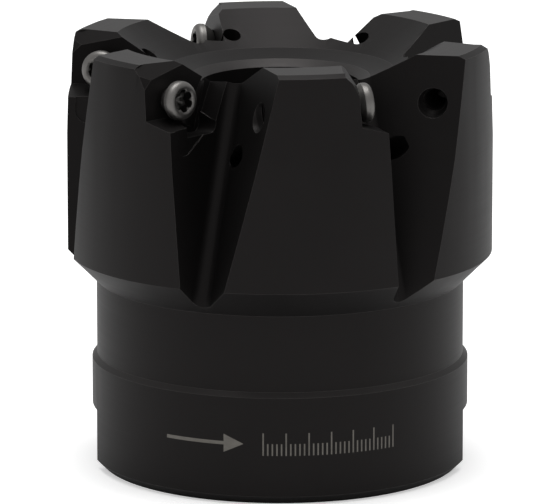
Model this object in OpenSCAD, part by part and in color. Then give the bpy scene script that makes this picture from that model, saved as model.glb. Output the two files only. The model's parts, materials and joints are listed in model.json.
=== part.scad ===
// Arbor-mounted face mill body with six insert pockets and their clamping screws.
// Millimetres. Origin at the centre of the back face, +Z towards the cutting end,
// X along the drive slot, tooth 1 towards -Y.

/* [Body] */
// Diameter of the steel body over the teeth, inserts not counted
body_d = 39.4; // [30:0.1:60]
// Overall height of the body
body_h = 40; // [30:0.5:60]
// Diameter of the waist below the teeth
waist_d = 34.1; // [28:0.1:50]
// Diameter of the collar at the back
collar_d = 35; // [30:0.1:52]
// Height of the collar
collar_h = 10; // [6:0.1:14]
// Height where the waist ends and the teeth begin to swell out
waist_top = 17.5; // [14:0.1:24]
// Chamfer on the back rim
rim_chamfer = 0.8; // [0.2:0.1:1.5]

/* [Arbor seat] */
// Arbor bore diameter
bore_d = 16; // [10:1:27]
// Depth of the arbor bore from the back face
bore_l = 18; // [14:1:24]
// Clearance hole for the arbor screw
bolt_d = 9; // [6:0.5:13]
// Front counterbore for the screw head
head_d = 14.6; // [11:0.1:20]
// Height of the floor the screw head sits on
head_seat_z = 26; // [22:0.5:30]
// Width of the drive slot
slot_w = 8.4; // [6:0.1:12.4]
// Depth of the drive slot
slot_h = 5.6; // [4:0.1:8]

/* [Cutting end] */
// Inner radius of the top lands
land_ri = 15.25; // [12:0.05:18]
// Outer radius of the top lands
land_ro = 18.8; // [14:0.05:19.4]
// Radius where the dish turns shallow
dish_r = 10.5; // [9:0.1:13]
// Height of that turn
dish_z = 37.05; // [34:0.05:39]
// Height where the teeth begin to narrow towards the top
taper_z = 31; // [26:0.5:38]
// How far the radius narrows at the top
taper_in = 0.25; // [0:0.05:0.5]

/* [Flutes] */
// Angle of the flute floor away from the tool axis
flute_lean = 17.5; // [12:0.1:22]
// Direction the floor leans towards, seen from the cutting end
flute_dir = 62.3; // [50:0.1:75]
// Lean of the wall below the pocket
flute_wall = 13.8; // [8:0.1:18]
// Angle between the two flute walls
flute_angle = 62.3; // [50:0.1:68]
// Radius at the bottom of the flute
flute_nose = 1.05; // [0.5:0.05:1.6]

/* [Insert pockets] */
// Direction the seat faces, seen from the cutting end
seat_dir = 14.07; // [0:0.1:30]
// Upward tilt of the seat
seat_tilt = 4.6; // [0:0.1:12]
// Distance from the screw to the ledge under the insert
ledge_drop = 1.55; // [1.4:0.05:4]
// Relief angle of the ledge
ledge_relief = 21; // [10:0.5:25]
// Distance from the screw to the inner wall
wall_in = 3.9; // [3:0.05:4.4]
// Lean of the inner wall
wall_lean = 26.5; // [10:0.5:30]
// Turn of the inner wall, so that it opens outwards
wall_turn = 6.8; // [0:0.1:10]

/* [Screws] */
// Thread diameter of the insert screws
screw_d = 2.5; // [2:0.1:4]
// Head diameter
screw_head_d = 3.56; // [3:0.02:6]
// Length of thread below the head
screw_l = 4.4; // [3:0.1:7]
// Core diameter of the tapped hole where it leaves the tooth
tap_d = 2.1; // [1.6:0.05:3.4]
// Gap between the thread and its hole, per side
fit_gap = 0.05; // [0.02:0.01:0.1]

/* [Coolant] */
// Diameter of the coolant holes
coolant_d = 2; // [1:0.1:3]

/* [Hidden] */
$fn = 96;
body_r = body_d / 2;
teeth = 6;
pitch = 360 / teeth;
far = 2 * body_d;
edge_h = 0.3;
bore_edge = 0.5;
mouth_r = 8.3;
mouth_z = 36.4;
mouth_neck = 0.6;
shoulder_h = (collar_d - waist_d) / 2;
swell_h = body_r - waist_d / 2;
flute_foot = [-6.9, -16.7, 18.3];
flute_apex = [1.27, 0.62];
flute_reach = 24;
flute_half = flute_angle / 2;
flute_mid = 180 - flute_wall + flute_half;
nose_back = flute_nose / sin(flute_half);
seat_pos = [6.45, -15.05, 36.65];
seat_open = 3.4;
seat_out = 9;
seat_up = 6;
facet_top = [0, -2.3, 2.1];
facet_top_roll = 13.2;
facet_top_tilt = 42.6;
facet_side = [0, -2.8, 1.63];
facet_side_roll = 43.2;
facet_side_tilt = 31.6;
corner_r = 0.9;
corner_y = 2.6;
corner_z = -2.4;
corner_from = -0.3;
corner_back = 0.25;
groove_r = 0.85;
groove_x = -0.35;
groove_z = -1.4;
under_pos = [1.61, -3.24];
under_end = [-1.1, -3.75];
under_r = 1.1;
under_dir = 5.5;
under_fall = 34.1;
under_depth = 2.15;
under_w = 1.4;
under_h = 3.2;
hole_l = screw_l + fit_gap * 6;
exit_l = 8.46;
exit_out = 0.73;
exit_r = 1.5;
coolant_out = [-3.9, -14.2, 31.7];
coolant_in = [-1.1, -6.6, 27.1];
coolant_dir = coolant_out - coolant_in;
coolant_az = atan2(coolant_dir[1], coolant_dir[0]);
coolant_tilt = atan2(norm([coolant_dir[0], coolant_dir[1]]), coolant_dir[2]);
head_cone_h = 0.85;
head_rim_h = 0.7;
head_top_h = 0.25;
head_lift = 0.04;
socket_r = 0.82;
socket_lobe_r = 0.27;
socket_lobe_pos = 0.92;
socket_h = 1.05;
lobes = 6;
steel_colour = [0.16, 0.16, 0.15];
screw_colour = [0.72, 0.71, 0.69];

// Turned blank with the arbor bore, the counterbore and the dished front.
module blank() {
  rotate_extrude()
    polygon([
      [bore_d / 2 + bore_edge, 0],
      [collar_d / 2 - rim_chamfer, 0],
      [collar_d / 2, rim_chamfer],
      [collar_d / 2, collar_h],
      [waist_d / 2, collar_h + shoulder_h],
      [waist_d / 2, waist_top],
      [body_r, waist_top + swell_h],
      [body_r, taper_z],
      [body_r - taper_in, body_h - edge_h],
      [land_ro, body_h],
      [land_ri, body_h],
      [dish_r, dish_z],
      [mouth_r, mouth_z],
      [head_d / 2, mouth_z - mouth_neck],
      [head_d / 2, head_seat_z],
      [bolt_d / 2, head_seat_z],
      [bolt_d / 2, bore_l],
      [bore_d / 2, bore_l],
      [bore_d / 2, bore_edge]
    ]);
}

// Slot across the back face for the two arbor keys.
module drive_slot() {
  translate([-far / 2, -slot_w / 2, -1])
    cube([far, slot_w, slot_h + 1]);
}

// V with a round bottom, open towards -X, drawn across the flute.
module flute_section() {
  translate(flute_apex) {
    translate([nose_back * cos(flute_mid), nose_back * sin(flute_mid)])
      circle(r = flute_nose);
    difference() {
      polygon([
        [0, 0],
        [far * cos(180 - flute_wall), far * sin(180 - flute_wall)],
        [far * cos(flute_mid + flute_half), far * sin(flute_mid + flute_half)]
      ]);
      rotate(flute_mid)
        translate([-1, -far / 2])
          square([1 + nose_back - flute_nose * sin(flute_half), far]);
    }
  }
}

module flute() {
  translate(flute_foot)
    rotate([0, flute_lean, flute_dir])
      translate([0, 0, -flute_reach / 3])
        linear_extrude(height = 2 * flute_reach)
          flute_section();
}

// Frame of one insert seat: +X out of the seat, +Y inwards, +Z up, origin on the screw.
module at_seat(i) {
  rotate([0, 0, i * pitch])
    translate(seat_pos)
      rotate([0, 0, seat_dir])
        rotate([0, -seat_tilt, 0])
          children();
}

// Open space over the seat, bounded by the sloping ledge and the inner wall.
module seat_space() {
  intersection() {
    translate([0, seat_out, 0])
      rotate([90, 0, 0])
        linear_extrude(height = 2 * seat_out)
          polygon([
            [0, -ledge_drop],
            [seat_open, -ledge_drop - seat_open * tan(ledge_relief)],
            [seat_open, seat_up],
            [0, seat_up]
          ]);
    rotate([-wall_lean, 0, wall_turn])
      translate([-seat_out, -2 * seat_out, -seat_out])
        cube([3 * seat_out, 2 * seat_out + wall_in, 3 * seat_out]);
  }
}

// Round-ended relief below the inner corner of the insert.
module corner_relief() {
  translate([-corner_back, 0, 0])
    rotate([90, 0, 90])
      linear_extrude(height = seat_open + corner_back) {
        translate([corner_y, corner_z])
          circle(r = corner_r);
        translate([corner_from, corner_z - corner_r])
          square([corner_y - corner_from, 2 * corner_r]);
        translate([corner_y - corner_r, corner_z])
          square([2 * corner_r, corner_r]);
      }
}

// Groove along the foot of the inner wall, for the edge of the insert.
module wall_groove() {
  rotate([-wall_lean, 0, wall_turn])
    translate([groove_x, wall_in - groove_r, groove_z])
      cylinder(r = groove_r, h = 2 * seat_up);
}

// Shallow step on the flute wall under the ledge, round at its outer end.
module under_step() {
  under_side = under_end[0] - under_r;
  rotate([0, 0, under_dir])
    translate([under_depth, 0, 0])
      rotate([90, 0, 90])
        linear_extrude(height = under_w) {
          translate(under_end)
            circle(r = under_r);
          polygon([
            under_pos,
            [under_pos[0], under_pos[1] + under_h],
            [under_side, under_pos[1] + under_h],
            [under_side, under_end[1]],
            under_end,
            under_end + under_r * [sin(under_fall), -cos(under_fall)]
          ]);
        }
}

module pocket() {
  seat_space();
  corner_relief();
  wall_groove();
  under_step();
}

// Clearance facet through a point on the edge of the seat.
module facet(pos, roll, tilt, reach) {
  translate(pos)
    rotate([roll, 0, 0])
      rotate([0, -tilt, 0])
        translate([0, -seat_up / 2, -seat_open / 2])
          cube([seat_open, reach, seat_open]);
}

// The two facets where the seat meets the top land and the outside.
module pocket_facets() {
  facet(facet_top, facet_top_roll, facet_top_tilt, seat_out);
  facet(facet_side, facet_side_roll, facet_side_tilt, seat_up);
}

// Tapped hole through the tooth, full size where the screw engages.
module screw_hole() {
  rotate([0, -90, 0]) {
    translate([0, 0, -1])
      cylinder(d = screw_d, h = hole_l + 1);
    cylinder(d = tap_d, h = exit_l + 2);
    translate([0, 0, exit_l + exit_out])
      sphere(r = exit_r);
  }
}

module coolant_hole() {
  translate(coolant_in)
    rotate([0, coolant_tilt, coolant_az])
      cylinder(d = coolant_d, h = norm(coolant_dir) + 1);
}

module cutter_body() {
  color(steel_colour)
    difference() {
      blank();
      drive_slot();
      for (i = [0 : teeth - 1]) {
        rotate([0, 0, i * pitch]) {
          flute();
          coolant_hole();
        }
        at_seat(i) {
          pocket();
          pocket_facets();
          screw_hole();
        }
      }
    }
}

// Six-lobed drive recess.
module socket() {
  linear_extrude(height = socket_h + 1) {
    circle(r = socket_r);
    for (k = [0 : lobes - 1])
      rotate(k * 360 / lobes)
        translate([socket_lobe_pos, 0])
          circle(r = socket_lobe_r);
  }
}

// Insert screw on its own axis, head outwards along +Z, seat plane at zero.
module screw_shape() {
  shank_r = screw_d / 2 - fit_gap;
  head_r = screw_head_d / 2;
  head_h = head_cone_h + head_rim_h + head_top_h;
  difference() {
    rotate_extrude()
      polygon([
        [0, -screw_l],
        [shank_r * 0.7, -screw_l],
        [shank_r, -screw_l + shank_r * 0.3],
        [shank_r, head_lift],
        [head_r, head_cone_h],
        [head_r, head_cone_h + head_rim_h],
        [head_r - head_top_h, head_h],
        [0, head_h]
      ]);
    translate([0, 0, head_h - socket_h])
      socket();
  }
}

module insert_screw(i) {
  color(screw_colour)
    at_seat(i)
      rotate([0, 90, 0])
        screw_shape();
}

module insert_screw_1() insert_screw(0);
module insert_screw_2() insert_screw(1);
module insert_screw_3() insert_screw(2);
module insert_screw_4() insert_screw(3);
module insert_screw_5() insert_screw(4);
module insert_screw_6() insert_screw(5);

cutter_body();
insert_screw_1();
insert_screw_2();
insert_screw_3();
insert_screw_4();
insert_screw_5();
insert_screw_6();
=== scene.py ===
import json
import math
import bmesh
import bpy
import numpy as np
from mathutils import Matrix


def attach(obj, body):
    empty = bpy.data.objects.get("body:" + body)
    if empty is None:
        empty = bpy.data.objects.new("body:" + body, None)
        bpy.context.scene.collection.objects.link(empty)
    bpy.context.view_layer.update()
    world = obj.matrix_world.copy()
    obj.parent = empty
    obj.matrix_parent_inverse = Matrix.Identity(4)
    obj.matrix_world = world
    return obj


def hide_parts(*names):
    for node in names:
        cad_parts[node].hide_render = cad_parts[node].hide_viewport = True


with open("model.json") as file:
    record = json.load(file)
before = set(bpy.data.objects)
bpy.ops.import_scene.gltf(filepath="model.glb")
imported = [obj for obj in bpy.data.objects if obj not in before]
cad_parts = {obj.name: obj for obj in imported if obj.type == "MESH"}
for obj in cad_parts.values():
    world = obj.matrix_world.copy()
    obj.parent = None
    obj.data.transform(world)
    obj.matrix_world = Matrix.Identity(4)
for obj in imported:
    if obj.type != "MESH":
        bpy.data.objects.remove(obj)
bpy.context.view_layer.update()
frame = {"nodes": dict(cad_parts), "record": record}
mm = 0.001
teeth = 6
seatMount = next(m for m in frame["record"]["mounts"] if m["name"] == "insert_seat_1")
print("frame loaded,", len(frame["nodes"]), "nodes")


def unit(v):
    v = np.asarray(v, float)
    return v / np.linalg.norm(v)


def turnAboutZ(points, angle):
    # each point turned about the tool axis by angle, in radians
    c, s = math.cos(angle), math.sin(angle)
    return points @ np.array([[c, s, 0], [-s, c, 0], [0, 0, 1]])


def seatAxes(i):
    # the seat's own frame on tooth i: where its screw stands, and rows X out, Y inwards, Z up
    out = unit(seatMount["axis"])
    inwards = unit(np.cross([0, 0, 1], out))
    axes = np.array([out, inwards, np.cross(out, inwards)])
    angle = i * 2 * math.pi / teeth
    place = turnAboutZ(np.array([seatMount["pos_m"]], float), angle)[0]
    return place, turnAboutZ(axes, angle)


def gridFaces(rows, cols, closedCols=True, closedRows=False):
    # quads joining neighbours on a grid, wrapped round where a direction is closed
    i = np.arange(rows if closedRows else rows - 1)
    j = np.arange(cols if closedCols else cols - 1)
    i, j = [a.ravel() for a in np.meshgrid(i, j, indexing="ij")]
    i2, j2 = (i + 1) % rows, (j + 1) % cols
    return np.stack([i * cols + j, i * cols + j2, i2 * cols + j2, i2 * cols + j], 1)


def readArray(items, label, width=1, kind=float):
    # one property of every item of a mesh, as an array with a row for each
    values = np.zeros(len(items) * width, kind)
    items.foreach_get(label, values)
    return values.reshape(-1, width) if width > 1 else values


def addObject(name, verts, faces, uvs=None):
    # an object at the origin, with its place in its mesh and its grain map where it has one
    mesh = bpy.data.meshes.new(name)
    mesh.from_pydata(verts.tolist(), [], [list(f) for f in faces])
    if uvs is not None:
        layer = mesh.uv_layers.new(name="grain")
        corners = readArray(mesh.loops, "vertex_index", kind=int)
        layer.data.foreach_set("uv", np.asarray(uvs, float)[corners].ravel())
    mesh.validate()
    obj = bpy.data.objects.new(name, mesh)
    bpy.context.scene.collection.objects.link(obj)
    return obj


def smoothByAngle(obj, degrees):
    # smooth faces, with a hard edge where they fold by more than this
    flags = np.ones(len(obj.data.polygons), bool)
    obj.data.polygons.foreach_set("use_smooth", flags)
    obj.data.set_sharp_from_angle(angle=math.radians(degrees))


def newGroup(name, inputs, outputs):
    tree = bpy.data.node_groups.new(name, "ShaderNodeTree")
    for label, kind, value in inputs:
        socket = tree.interface.new_socket(label, in_out="INPUT", socket_type=kind)
        if value is not None:
            socket.default_value = value
    for label, kind in outputs:
        tree.interface.new_socket(label, in_out="OUTPUT", socket_type=kind)
    return tree, tree.nodes.new("NodeGroupInput"), tree.nodes.new("NodeGroupOutput")


def mathNode(tree, operation, a, b=None, c=None):
    node = tree.nodes.new("ShaderNodeMath")
    node.operation = operation
    for socket, value in zip(node.inputs, (a, b, c)):
        if value is None:
            continue
        if hasattr(value, "is_output"):
            tree.links.new(value, socket)
        else:
            socket.default_value = value
    return node.outputs[0]


def noiseNode(tree, vector, scale, detail=3.0, rough=0.55, distortion=0.0):
    node = tree.nodes.new("ShaderNodeTexNoise")
    tree.links.new(vector, node.inputs["Vector"])
    for label, value in (("Scale", scale), ("Detail", detail), ("Roughness", rough),
                         ("Distortion", distortion)):
        if hasattr(value, "is_output"):
            tree.links.new(value, node.inputs[label])
        else:
            node.inputs[label].default_value = value
    return node.outputs["Fac"]


markNoise = {"coarse": 2.2, "coarseDetail": 4.0, "coarseRough": 0.6,
             "fine": 11.0, "fineDetail": 3.0, "fineRough": 0.7}
oxideNoise = {"detail": 4.0, "rough": 0.6, "distortion": 0.3,
              "fine": 26.0, "fineDetail": 2.0, "speckFrom": 0.68}


def cutterMarksGroup():
    # a noise stretched far one way, and a finer one: Turned 0 runs it along U of the grain map,
    # Turned 1 makes rings about the tool axis, from the height on walls and the radius on flats
    tree, inp, out = newGroup(
        "cutterMarks",
        [("Turned", "NodeSocketFloat", 0.0), ("Stretch", "NodeSocketFloat", 0.02),
         ("Scale", "NodeSocketFloat", 1.0)],
        [("Streaks", "NodeSocketFloat"), ("Fine", "NodeSocketFloat")])
    uv = tree.nodes.new("ShaderNodeUVMap")
    uv.uv_map = "grain"
    split = tree.nodes.new("ShaderNodeSeparateXYZ")
    tree.links.new(uv.outputs["UV"], split.inputs[0])
    along = mathNode(tree, "MULTIPLY", split.outputs[0], inp.outputs["Stretch"])
    joined = tree.nodes.new("ShaderNodeCombineXYZ")
    tree.links.new(along, joined.inputs[0])
    tree.links.new(split.outputs[1], joined.inputs[1])
    coord = tree.nodes.new("ShaderNodeTexCoord")
    place = tree.nodes.new("ShaderNodeSeparateXYZ")
    tree.links.new(coord.outputs["Object"], place.inputs[0])
    x, y, z = [mathNode(tree, "DIVIDE", socket, mm) for socket in place.outputs]
    squares = mathNode(tree, "MULTIPLY_ADD", x, x, mathNode(tree, "MULTIPLY", y, y))
    drift = mathNode(tree, "MULTIPLY", mathNode(tree, "ADD", x, y), inp.outputs["Stretch"])
    facing = tree.nodes.new("ShaderNodeSeparateXYZ")
    tree.links.new(coord.outputs["Normal"], facing.inputs[0])
    flatness = mathNode(tree, "ABSOLUTE", facing.outputs[2])
    ring = tree.nodes.new("ShaderNodeCombineXYZ")
    radius = mathNode(tree, "SQRT", squares)
    tree.links.new(mathNode(tree, "MULTIPLY", radius, flatness), ring.inputs[0])
    tree.links.new(z, ring.inputs[1])
    tree.links.new(drift, ring.inputs[2])
    choice = tree.nodes.new("ShaderNodeMix")
    choice.data_type = "VECTOR"
    tree.links.new(inp.outputs["Turned"], choice.inputs[0])
    tree.links.new(joined.outputs[0], choice.inputs[4])
    tree.links.new(ring.outputs[0], choice.inputs[5])
    n = markNoise
    coarse = mathNode(tree, "MULTIPLY", inp.outputs["Scale"], n["coarse"])
    fine = mathNode(tree, "MULTIPLY", inp.outputs["Scale"], n["fine"])
    streaks = noiseNode(tree, choice.outputs[1], coarse, n["coarseDetail"], n["coarseRough"])
    tree.links.new(streaks, out.inputs["Streaks"])
    fineMarks = noiseNode(tree, choice.outputs[1], fine, n["fineDetail"], n["fineRough"])
    tree.links.new(fineMarks, out.inputs["Fine"])
    return tree


def oxideGroup():
    # clouding of the blackened skin: slow patches with a finer mottling on them
    tree, inp, out = newGroup(
        "oxideClouding",
        [("Patch", "NodeSocketFloat", 120.0), ("Contrast", "NodeSocketFloat", 1.6)],
        [("Clouds", "NodeSocketFloat"), ("Specks", "NodeSocketFloat")])
    coord = tree.nodes.new("ShaderNodeTexCoord")
    n = oxideNoise
    slow = noiseNode(tree, coord.outputs["Object"], inp.outputs["Patch"],
                     n["detail"], n["rough"], n["distortion"])
    fineScale = mathNode(tree, "MULTIPLY", inp.outputs["Patch"], n["fine"])
    fine = noiseNode(tree, coord.outputs["Object"], fineScale, n["fineDetail"], n["rough"])
    centred = mathNode(tree, "SUBTRACT", slow, 0.5)
    clouds = mathNode(tree, "MULTIPLY_ADD", centred, inp.outputs["Contrast"], 0.5)
    tree.links.new(clouds, out.inputs["Clouds"])
    specks = mathNode(tree, "GREATER_THAN", fine, n["speckFrom"])
    tree.links.new(specks, out.inputs["Specks"])
    return tree


marksGroup = cutterMarksGroup()
cloudGroup = oxideGroup()


def blankMaterial(name):
    material = bpy.data.materials.new(name)
    material.use_nodes = True
    tree = material.node_tree
    tree.nodes.clear()
    shader = tree.nodes.new("ShaderNodeBsdfPrincipled")
    output = tree.nodes.new("ShaderNodeOutputMaterial")
    tree.links.new(shader.outputs[0], output.inputs[0])
    return material, tree, shader


def addGroup(tree, group, values):
    node = tree.nodes.new("ShaderNodeGroup")
    node.node_tree = group
    for label, value in values.items():
        node.inputs[label].default_value = value
    return node


def mixColour(tree, factor, a, b):
    node = tree.nodes.new("ShaderNodeMix")
    node.data_type = "RGBA"
    for socket, value in ((node.inputs[0], factor), (node.inputs[6], a), (node.inputs[7], b)):
        if hasattr(value, "is_output"):
            tree.links.new(value, socket)
        elif isinstance(value, tuple):
            socket.default_value = (*value, 1.0)
        else:
            socket.default_value = value
    return node.outputs[2]


def steelMaterial(name, look):
    # clouded colour, roughness that follows the cutter marks, and a shallow bump along them
    material, tree, shader = blankMaterial(name)
    marks = addGroup(tree, marksGroup, {"Turned": look["turned"], "Stretch": look["stretch"],
                                        "Scale": look["markScale"]})
    oxide = addGroup(tree, cloudGroup, {"Patch": look["patch"], "Contrast": look["contrast"]})
    clouded = mixColour(tree, oxide.outputs["Clouds"], look["dark"], look["light"])
    specked = mathNode(tree, "MULTIPLY", oxide.outputs["Specks"], look["specks"])
    worn = mathNode(tree, "MULTIPLY_ADD", marks.outputs["Streaks"], look["streaks"], specked)
    tree.links.new(mixColour(tree, worn, clouded, look["bare"]), shader.inputs["Base Color"])
    coarse = mathNode(tree, "MULTIPLY_ADD", marks.outputs["Streaks"], look["roughSwing"],
                      look["rough"] - look["roughSwing"] / 2)
    rough = mathNode(tree, "MULTIPLY_ADD", oxide.outputs["Clouds"], look["roughSwing"] / 2, coarse)
    tree.links.new(rough, shader.inputs["Roughness"])
    height = mathNode(tree, "MULTIPLY_ADD", marks.outputs["Fine"], 0.5, marks.outputs["Streaks"])
    bump = tree.nodes.new("ShaderNodeBump")
    bump.inputs["Strength"].default_value = look["bump"]
    bump.inputs["Distance"].default_value = look["bumpDepth"]
    tree.links.new(height, bump.inputs["Height"])
    tree.links.new(bump.outputs[0], shader.inputs["Normal"])
    shader.inputs["Metallic"].default_value = look["metallic"]
    shader.inputs["Specular IOR Level"].default_value = look["specular"]
    shader.inputs["Specular Tint"].default_value = (*look["tint"], 1.0)
    return material


# finishes: dark and light oxide, the bare metal under it, and how far each effect goes
turnedLook = {
    "dark": (0.0030, 0.0028, 0.0028), "light": (0.0050, 0.0046, 0.0046), "bare": (0.05, 0.048, 0.045),
    "metallic": 0.0, "specular": 0.175, "rough": 0.45, "roughSwing": 0.06, "tint": (1.0, 0.93, 0.92),
    "turned": 1.0, "stretch": 0.02, "markScale": 1.6, "streaks": 0.012, "specks": 0.02,
    "patch": 110.0, "contrast": 1.8, "bump": 0.10, "bumpDepth": 0.00003,
}
milledLook = dict(turnedLook, turned=0.0, rough=0.40, specular=0.145, stretch=0.05,
                  markScale=1.1, bump=0.16, streaks=0.016)
tappedLook = dict(milledLook, specular=0.06, stretch=0.3)
# the broken edges are lighter partly for worn bare metal and partly as a painted highlight along them
edgeWearAndHighlightLook = dict(turnedLook, dark=(0.034, 0.032, 0.031), light=(0.075, 0.071, 0.068),
                rough=0.34, specular=0.55, streaks=0.14, specks=0.12)
screwLook = {
    "dark": (0.12, 0.115, 0.110), "light": (0.21, 0.203, 0.195), "bare": (0.34, 0.33, 0.315),
    "metallic": 1.0, "specular": 0.5, "rough": 0.42, "roughSwing": 0.14, "tint": (1.0, 1.0, 1.0),
    "turned": 0.0, "stretch": 0.05, "markScale": 4.0, "streaks": 0.25, "specks": 0.15,
    "patch": 700.0, "contrast": 1.8, "bump": 0.25, "bumpDepth": 0.00002,
}
# a painted highlight: lighter oxide on upward faces of the lands, the collar shoulder and the bore
# mouth
paintedHighlightLook = dict(turnedLook, dark=(0.006, 0.0056, 0.0055), light=(0.011, 0.0103, 0.0101),
                  specular=0.30, streaks=0.06, specks=0.05)
# painted shade: much darker steel for the screw's socket recess and its thread
recessShadeLook = dict(screwLook, dark=(0.012, 0.0115, 0.011), light=(0.03, 0.029, 0.028), rough=0.38)
etchLook = dict(turnedLook, dark=(0.10, 0.095, 0.085), light=(0.16, 0.15, 0.135),
                bare=(0.22, 0.21, 0.19), rough=0.6, streaks=0.3, specks=0.3, patch=900.0)

turnedSteel = steelMaterial("turnedSteel", turnedLook)
milledSteel = steelMaterial("milledSteel", milledLook)
tappedSteel = steelMaterial("tappedSteel", tappedLook)
edgeWearAndHighlightSteel = steelMaterial("brokenEdgeWearAndHighlight", edgeWearAndHighlightLook)
paintedHighlightSteel = steelMaterial("paintedHighlightSteel", paintedHighlightLook)
screwSteel = steelMaterial("screwSteel", screwLook)
recessShadeSteel = steelMaterial("screwRecessShade", recessShadeLook)
etchedSteel = steelMaterial("etchedSteel", etchLook)
print("materials made")


# cutter body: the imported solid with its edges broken
bodyShape = {
    "edge": 0.20 * mm,       # width of the broken edges
    "segments": 3,
    "sharpFrom": 12.0,       # edges folded by more degrees than this are broken
    "weld": 0.0002 * mm,     # corners nearer than this are one
    "flat": 0.4,             # faces this near to one plane, in degrees, are joined
    "milledFrom": 0.04,      # a face that leans more than this round the axis was milled
    "fluteTurn": 0.3,        # radians that the sixths sharing a flute's direction are turned back
    "fluteDirection": (0.1397, 0.2662, 0.9537),  # the way the front flute runs
    "holeReach": 1.36 * mm,  # faces this near to a tapped hole's axis are its own
    "holeDeep": 10 * mm,
    # where upward faces get a painted highlight, in mm: middle height, reach above and below it,
    # least and greatest radius, and the least upward part of the face's normal
    "paintedHighlight": {
        "lands": (40.0, 0.2, 0.0, math.inf, 0.95),
        "shoulder": (10.22, 0.25, 16.9, math.inf, 0.4),
        "mouth": (36.1, 0.35, 0.0, 8.4, 0.4),
    },
}

bodyFinishes = {"turned": turnedSteel, "milled": milledSteel, "edge": edgeWearAndHighlightSteel,
                "paintedHighlight": paintedHighlightSteel, "tapped": tappedSteel}
finishSlot = {name: k for k, name in enumerate(bodyFinishes)}


def grainMap(points, normals):
    # turned faces: U round the axis, V across the rings; milled faces: U along the flute, V across it
    r = np.hypot(points[:, 0], points[:, 1])
    azimuth = np.arctan2(points[:, 1], points[:, 0])
    radial = np.stack([np.cos(azimuth), np.sin(azimuth)], 1)
    across = np.abs(normals[:, :2] * radial).sum(1)
    turnedUv = np.stack([azimuth * r, points[:, 2] * across + r * (1 - across)], 1)
    step = 2 * math.pi / teeth
    tooth = np.round((azimuth + math.pi / 2 + bodyShape["fluteTurn"]) / step) * step
    c, s = np.cos(tooth), np.sin(tooth)
    d = bodyShape["fluteDirection"]
    flute = np.stack([d[0] * c - d[1] * s, d[0] * s + d[1] * c, np.full_like(c, d[2])], 1)
    side = np.cross(normals, flute)
    milledUv = np.stack([(points * flute).sum(1), (points * side).sum(1)], 1)
    return turnedUv / mm, milledUv / mm


def weldedBody():
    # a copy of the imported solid, its loose triangles joined into whole faces
    bm = bmesh.new()
    bm.from_mesh(frame["nodes"]["cutter_body"].data)
    bmesh.ops.remove_doubles(bm, verts=bm.verts, dist=bodyShape["weld"])
    bmesh.ops.dissolve_limit(bm, angle_limit=math.radians(bodyShape["flat"]),
                             verts=bm.verts, edges=bm.edges)
    mesh = bpy.data.meshes.new("cutterBody")
    bm.to_mesh(mesh)
    bm.free()
    mesh.materials.clear()
    for material in bodyFinishes.values():
        mesh.materials.append(material)
    return mesh


def breakEdges(obj):
    smoothByAngle(obj, 180)  # nothing is left sharp: the bevels turn the corners
    bevel = obj.modifiers.new("brokenEdges", "BEVEL")
    bevel.width = bodyShape["edge"]
    bevel.segments = bodyShape["segments"]
    bevel.limit_method = "ANGLE"
    bevel.angle_limit = math.radians(bodyShape["sharpFrom"])
    bevel.use_clamp_overlap = True
    # the bevel faces get the lighter edge steel: worn bare metal partly, a painted highlight partly
    bevel.material = finishSlot["edge"]
    bevel.miter_outer = "MITER_ARC"
    flatter = obj.modifiers.new("flatFaces", "WEIGHTED_NORMAL")
    flatter.mode = "FACE_AREA_WITH_ANGLE"
    graph = bpy.context.evaluated_depsgraph_get()
    finished = bpy.data.meshes.new_from_object(obj.evaluated_get(graph))
    obj.modifiers.clear()
    obj.data = finished


def milledFaces(normals, centres):
    # normal . tangent is 0 on every face that was turned on the lathe
    reach = np.hypot(centres[:, 0], centres[:, 1])
    tangent = np.stack([-centres[:, 1], centres[:, 0]], 1) / reach[:, None]
    return np.abs((normals[:, :2] * tangent).sum(1)) > bodyShape["milledFrom"]


def faceFinishes(normals, centres, slots, milled):
    # every face but the broken edges gets its finish from where it is and the way it faces; upward
    # faces at the lands, the shoulder and the bore mouth get a painted highlight
    tapped = np.zeros(len(slots), bool)
    for place, axes in map(seatAxes, range(teeth)):
        along = (centres - place) @ axes[0]
        aside = np.linalg.norm(centres - place - along[:, None] * axes[0], axis=1)
        tapped |= (aside < bodyShape["holeReach"]) & (along < 0) & (along > -bodyShape["holeDeep"])
    paintedHighlight = np.zeros(len(slots), bool)
    r, z = np.hypot(centres[:, 0], centres[:, 1]) / mm, centres[:, 2] / mm
    # the lighter steel on these upward faces is a painted highlight
    for height, above, inner, outer, upward in bodyShape["paintedHighlight"].values():
        paintedHighlight |= (np.abs(z - height) < above) & (r > inner) & (r < outer) & (normals[:, 2] > upward)
    finish = np.where(milled, finishSlot["milled"], finishSlot["turned"])
    finish[tapped] = finishSlot["tapped"]
    finish[paintedHighlight] = finishSlot["paintedHighlight"]
    finish[slots == finishSlot["edge"]] = finishSlot["edge"]
    return finish


def roundedBody():
    obj = bpy.data.objects.new("cutterBody", weldedBody())
    bpy.context.scene.collection.objects.link(obj)
    breakEdges(obj)
    mesh = obj.data
    normals = readArray(mesh.polygons, "normal", 3)
    centres = readArray(mesh.polygons, "center", 3)
    slots = readArray(mesh.polygons, "material_index", kind=int)
    milled = milledFaces(normals, centres)
    finish = faceFinishes(normals, centres, slots, milled)
    mesh.polygons.foreach_set("material_index", finish)
    faceOf = np.repeat(np.arange(len(normals)), readArray(mesh.polygons, "loop_total", kind=int))
    points = readArray(mesh.vertices, "co", 3)[readArray(mesh.loops, "vertex_index", kind=int)]
    turnedUv, milledUv = grainMap(points, normals[faceOf])
    uv = np.where(milled[faceOf][:, None], milledUv, turnedUv)
    mesh.uv_layers.new(name="grain").data.foreach_set("uv", uv.ravel())
    print("body made,", len(normals), "faces,", int(milled.sum()), "milled")
    return obj


body = roundedBody()
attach(body, "body")
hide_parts("cutter_body")


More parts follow.
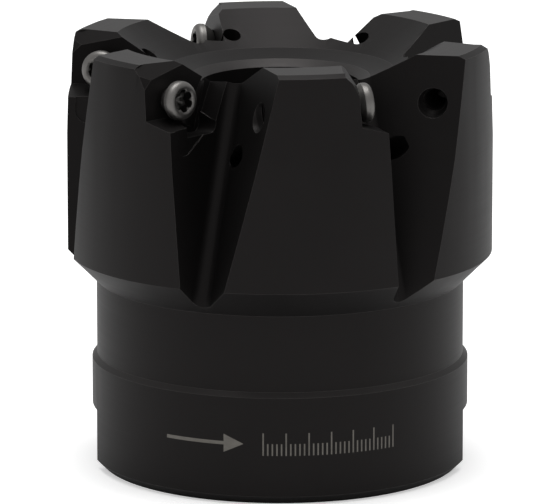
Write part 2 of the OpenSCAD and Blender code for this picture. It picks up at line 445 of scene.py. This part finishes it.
# insert screws
screwShape = {
    "pitch": 0.45, "crest": 1.19, "root": 0.93,     # thread
    "tip": -4.4, "tipFlat": 0.3, "tipR": 0.85, "tipTaper": 0.2,
    "runIn": 0.35, "runOut": 0.12, "neck": -0.05,   # lengths over which the thread starts and ends
    "coneBase": 1.20, "coneFrom": 0.08, "coneTop": 0.86,
    "headR": 1.78, "headTop": 1.80, "corner": 0.55, "faceR": 1.20,
    "lobes": 6, "lobeMid": 0.97, "lobeSwing": 0.17, "mouthDeep": 0.18,
    "socketDeep": 1.05, "socketCone": 0.35,
    "lobeSquare": 0.02,                             # a second wave that squares the lobes
    "step": 0.02,                                   # small steps that keep the edges crisp
    "around": 96, "sharpFrom": 42, "firstTurn": 0.3, "turnEach": 1.1,
}


def screwRows():
    # rows from the tip up the outside, over the head and down into the recess:
    # radius, height, how much thread, how much of the lobed outline
    s = screwShape
    step, top, floor = s["step"], s["headTop"], s["headTop"] - s["socketDeep"]
    rows = [(s["tipFlat"], s["tip"], 0, 0), (s["tipR"], s["tip"], 0, 0)]
    for z in np.arange(s["tip"] + 1.5 * step, s["neck"] - step, s["pitch"] / 12):
        fade = min(1.0, (z - s["tip"]) / s["runIn"], (s["neck"] - z) / s["runOut"])
        taper = min(1, (z - s["tip"]) / s["tipTaper"])
        rows.append((s["tipR"] + (s["root"] - s["tipR"]) * taper, z, fade, 0))
    rows += [(s["root"] + 3 * step, s["neck"] + step, 0, 0), (s["coneBase"] - 0.05, 0.05, 0, 0)]
    rows += [(s["coneBase"] + (s["headR"] - 0.05 - s["coneBase"]) * k,
              s["coneFrom"] + (s["coneTop"] - s["coneFrom"]) * k, 0, 0) for k in np.linspace(0, 1, 8)]
    rows += [(s["headR"], s["coneTop"] + 3 * step, 0, 0)]
    rows += [(s["headR"], z, 0, 0) for z in np.linspace(s["coneTop"] + 6 * step, top - s["corner"], 5)]
    rows += [(s["headR"] - s["corner"] * (1 - math.cos(a)), top - s["corner"] * (1 - math.sin(a)), 0, 0)
             for a in np.linspace(0.12, 1, 8) * math.pi / 2]
    rows += [(s["faceR"] + 0.05, top, 0, 0), (s["faceR"], top - step / 2, 0, 0)]
    rows += [(1.0, top - 1.5 * step - s["mouthDeep"] * k, 0, k) for k in np.linspace(0.35, 1, 5)]
    rows += [(1.0, z, 0, 1) for z in np.linspace(top - s["mouthDeep"] - 3.5 * step, floor, 8)]
    rows += [(0.6 * (1 - k) + 2 * step, floor - step - s["socketCone"] * k, 0, (1 - k) * 0.8)
             for k in np.linspace(0, 1, 6)]
    return np.array(rows)


def threadWave(z, angle, pitch):
    # a V thread with flat crest and root: a triangle wave of the helix phase, clipped to 0..1
    phase = (z / pitch - angle / (2 * math.pi)) % 1.0
    return np.clip(1.3 - 3.4 * np.abs(phase - 0.5), 0, 1)


def screwMesh(name, place, axes, turn):
    # radius = plain radius + a clipped triangle wave of (height / pitch - angle / full turn), and
    # in the recess the radius goes over to mid + swing * cos(lobes * angle)
    s = screwShape
    rows = screwRows()
    u = np.linspace(0, 2 * math.pi, s["around"], endpoint=False)
    r, z, thread, lobe = [rows[:, k][:, None] for k in range(4)]
    wave = threadWave(z, u, s["pitch"])
    waves = s["lobes"] * u
    outline = s["lobeMid"] + s["lobeSwing"] * np.cos(waves) - s["lobeSquare"] * np.cos(2 * waves)
    radius = r + thread * (s["crest"] - s["root"]) * wave
    radius = radius * (1 - lobe) + lobe * outline * np.where(lobe < 1, np.maximum(r, 0.6), 1.0)
    x, y = radius * np.cos(u + turn), radius * np.sin(u + turn)
    local = np.stack([np.broadcast_to(z, x.shape), x, y], 2).reshape(-1, 3)
    ends = np.array([[s["tip"], 0, 0], [z[-1, 0], 0, 0]])
    points = place + np.concatenate([local, ends]) * mm @ axes
    count, cols = rows.shape[0], len(u)
    j = np.arange(cols)
    low = np.stack([(j + 1) % cols, j, np.full(cols, count * cols)], 1)
    high = np.stack([j + (count - 1) * cols, (j + 1) % cols + (count - 1) * cols,
                     np.full(cols, count * cols + 1)], 1)
    faces = gridFaces(count, cols).tolist() + low.tolist() + high.tolist()
    pathLength = np.concatenate([[0], np.cumsum(np.hypot(np.diff(rows[:, 0]), np.diff(rows[:, 1])))])
    uv = np.stack([np.tile(u, count), np.repeat(pathLength, cols)], 1)
    uv = np.concatenate([uv, [[0, 0], [0, pathLength[-1]]]])
    obj = addObject(name, points, faces, uv)
    obj.data.materials.append(screwSteel)
    obj.data.materials.append(recessShadeSteel)
    # painted shade: the thread and the recess are the darker steel
    paintedShadeFaces = np.zeros(len(faces), int)
    paintedShadeFaces[:np.argmax(rows[:, 1] > s["neck"]) * cols] = 1
    paintedShadeFaces[np.argmax(rows[:, 3] > 0) * cols:] = 1
    obj.data.polygons.foreach_set("material_index", paintedShadeFaces)
    smoothByAngle(obj, s["sharpFrom"])
    return obj


for i in range(teeth):
    place, axes = seatAxes(i)
    turn = screwShape["firstTurn"] + screwShape["turnEach"] * i
    screw = screwMesh(f"insertScrew{i + 1}", place, axes, turn)
    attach(screw, f"screw_{i + 1}")
    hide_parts(f"insert_screw_{i + 1}")
print("screws made")


# threads left showing in the tapped holes
tapShape = {
    "from": -4.75, "to": -7.95, "outer": 1.06, "root": 1.04, "crest": 0.93, "pitch": 0.45,
    "around": 60, "rows": 86, "sharpFrom": 50,
}


def tapLining():
    # a thin sleeve for each hole: inner radius = root minus the thread's depth times its wave
    t = tapShape
    u = np.linspace(0, 2 * math.pi, t["around"], endpoint=False)
    z = np.linspace(t["from"], t["to"], t["rows"])[:, None]
    inner = t["root"] - (t["root"] - t["crest"]) * threadWave(z, u, t["pitch"])
    radius = np.concatenate([inner, np.full((2, len(u)), t["outer"])])
    height = np.concatenate([np.broadcast_to(z, inner.shape),
                             np.full((1, len(u)), t["to"]), np.full((1, len(u)), t["from"])])
    local = np.stack([height, radius * np.cos(u), radius * np.sin(u)], 2).reshape(-1, 3)
    one = gridFaces(radius.shape[0], len(u), True, True)
    points, faces, uvs = [], [], []
    for i in range(teeth):
        place, axes = seatAxes(i)
        points.append(place + local * mm @ axes)
        faces.append(one + i * len(local))
        uvs.append(np.stack([np.tile(u, radius.shape[0]), height.ravel()], 1))
    obj = addObject("tappedThreads", np.concatenate(points), np.concatenate(faces).tolist(),
                    np.concatenate(uvs))
    obj.data.materials.append(tappedSteel)
    smoothByAngle(obj, t["sharpFrom"])
    return obj


threads = tapLining()
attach(threads, "body")


# etched marks on the collar: a turning arrow and a plain scale
markShape = {
    "under": 17.47, "over": 17.512, "middle": 5.7,
    "arrowFrom": -36.0, "headFrom": -17.0, "arrowTo": -11.0, "shaftHalf": 0.16, "headHalf": 0.85,
    "shaftSteps": 14, "headSteps": 8,
    "scaleFrom": -5.0, "scaleTo": 36.0, "ticks": 31,
    "tickWide": 0.45, "tickHalf": 0.55, "fifthHalf": 1.05,
}


def raisedMark(angles, half, foot):
    # a thin strip wrapped on the collar: at each angle a closed ring of four corners, low and
    # high in Z by the half height, and just under and just over the collar's surface
    m = markShape
    a = np.radians(angles)[:, None]
    radius = np.array([m["under"], m["over"], m["over"], m["under"]])
    z = foot + half[:, None] * np.array([0.0, 0.0, 2.0, 2.0])
    points = np.stack([radius * np.sin(a), -radius * np.cos(a), z], 2).reshape(-1, 3)
    count = len(angles)
    faces = gridFaces(count, 4)[:, ::-1].tolist()
    faces += [[0, 1, 2, 3], [4 * count - 1, 4 * count - 2, 4 * count - 3, 4 * count - 4]]
    uvs = np.stack([np.repeat(np.radians(angles) * m["over"], 4), z.ravel()], 1)
    return points, faces, uvs


def collarMarks():
    # a shaft, a head that narrows to its point, and ticks with every fifth one longer
    m = markShape
    shaft = np.linspace(m["arrowFrom"], m["headFrom"], m["shaftSteps"])
    head = np.linspace(m["headFrom"], m["arrowTo"], m["headSteps"])
    headHalf = m["headHalf"] * np.linspace(1, 0.02, m["headSteps"])
    marks = [raisedMark(shaft, np.full(len(shaft), m["shaftHalf"]), m["middle"] - m["shaftHalf"]),
             raisedMark(head, headHalf, m["middle"] - headHalf[:, None])]
    for k, middle in enumerate(np.linspace(m["scaleFrom"], m["scaleTo"], m["ticks"])):
        half = m["fifthHalf"] if k % 5 == 0 else m["tickHalf"]
        edges = middle + m["tickWide"] * np.array([-0.5, 0.5])
        marks.append(raisedMark(edges, np.full(2, half), m["middle"] - m["fifthHalf"]))
    points, faces, uvs, start = [], [], [], 0
    for markPoints, markFaces, markUvs in marks:
        points.append(markPoints * mm)
        faces += [[corner + start for corner in face] for face in markFaces]
        uvs.append(markUvs)
        start += len(markPoints)
    obj = addObject("collarMarks", np.concatenate(points), faces, np.concatenate(uvs))
    obj.data.materials.append(etchedSteel)
    return obj


marksPiece = collarMarks()
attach(marksPiece, "body")
print("collar marks made")


# camera, floor and light
cameraView = {"at": (0, -0.5231, 0.13688), "down": 12.63, "lens": 370.7, "sensor": 36}
paper = {"size": 3.0, "colour": 0.93, "rough": 0.9, "specular": 0.1, "glow": 0.42}
softBox = {"at": (0.0, 0.03, 0.80), "size": 0.48, "watts": 3.7, "aim": (0, 0, 0.02)}
studio = {"colour": 0.96, "strength": 0.6}


def addCamera():
    data = bpy.data.cameras.new("camera")
    data.sensor_width = cameraView["sensor"]
    data.lens = cameraView["lens"]
    camera = bpy.data.objects.new("camera", data)
    camera.location = cameraView["at"]
    camera.rotation_euler = (math.radians(90 - cameraView["down"]), 0, 0)
    bpy.context.scene.collection.objects.link(camera)
    bpy.context.scene.camera = camera


def addFloor():
    size = paper["size"]
    verts = np.array([[-size, -size, 0], [size, -size, 0], [size, size, 0], [-size, size, 0]])
    floor = addObject("floor", verts, [(0, 1, 2, 3)])
    material, tree, shader = blankMaterial("palePaper")
    shader.inputs["Base Color"].default_value = (*[paper["colour"]] * 3, 1)
    shader.inputs["Roughness"].default_value = paper["rough"]
    shader.inputs["Specular IOR Level"].default_value = paper["specular"]
    # the paper glows to the eye only, so it goes white without lighting the steel
    path = tree.nodes.new("ShaderNodeLightPath")
    tree.links.new(mathNode(tree, "MULTIPLY", path.outputs["Is Camera Ray"], paper["glow"]),
                   shader.inputs["Emission Strength"])
    shader.inputs["Emission Color"].default_value = (1, 1, 1, 1)
    floor.data.materials.append(material)


def addSoftBox():
    data = bpy.data.lights.new("overhead", "AREA")
    data.size = softBox["size"]
    data.energy = softBox["watts"]
    light = bpy.data.objects.new("overhead", data)
    light.location = softBox["at"]
    aim = unit(np.array(softBox["aim"]) - np.array(softBox["at"]))
    light.rotation_euler = (math.acos(-aim[2]), 0, math.atan2(aim[1], aim[0]) - math.pi / 2)
    bpy.context.scene.collection.objects.link(light)


def addStudio():
    world = bpy.data.worlds.new("studio")
    world.use_nodes = True
    background = world.node_tree.nodes["Background"]
    background.inputs["Color"].default_value = (*[studio["colour"]] * 3, 1)
    background.inputs["Strength"].default_value = studio["strength"]
    bpy.context.scene.world = world
    bpy.context.scene.view_settings.view_transform = "Standard"


addCamera()
addFloor()
addSoftBox()
addStudio()
print("camera, floor and light set")
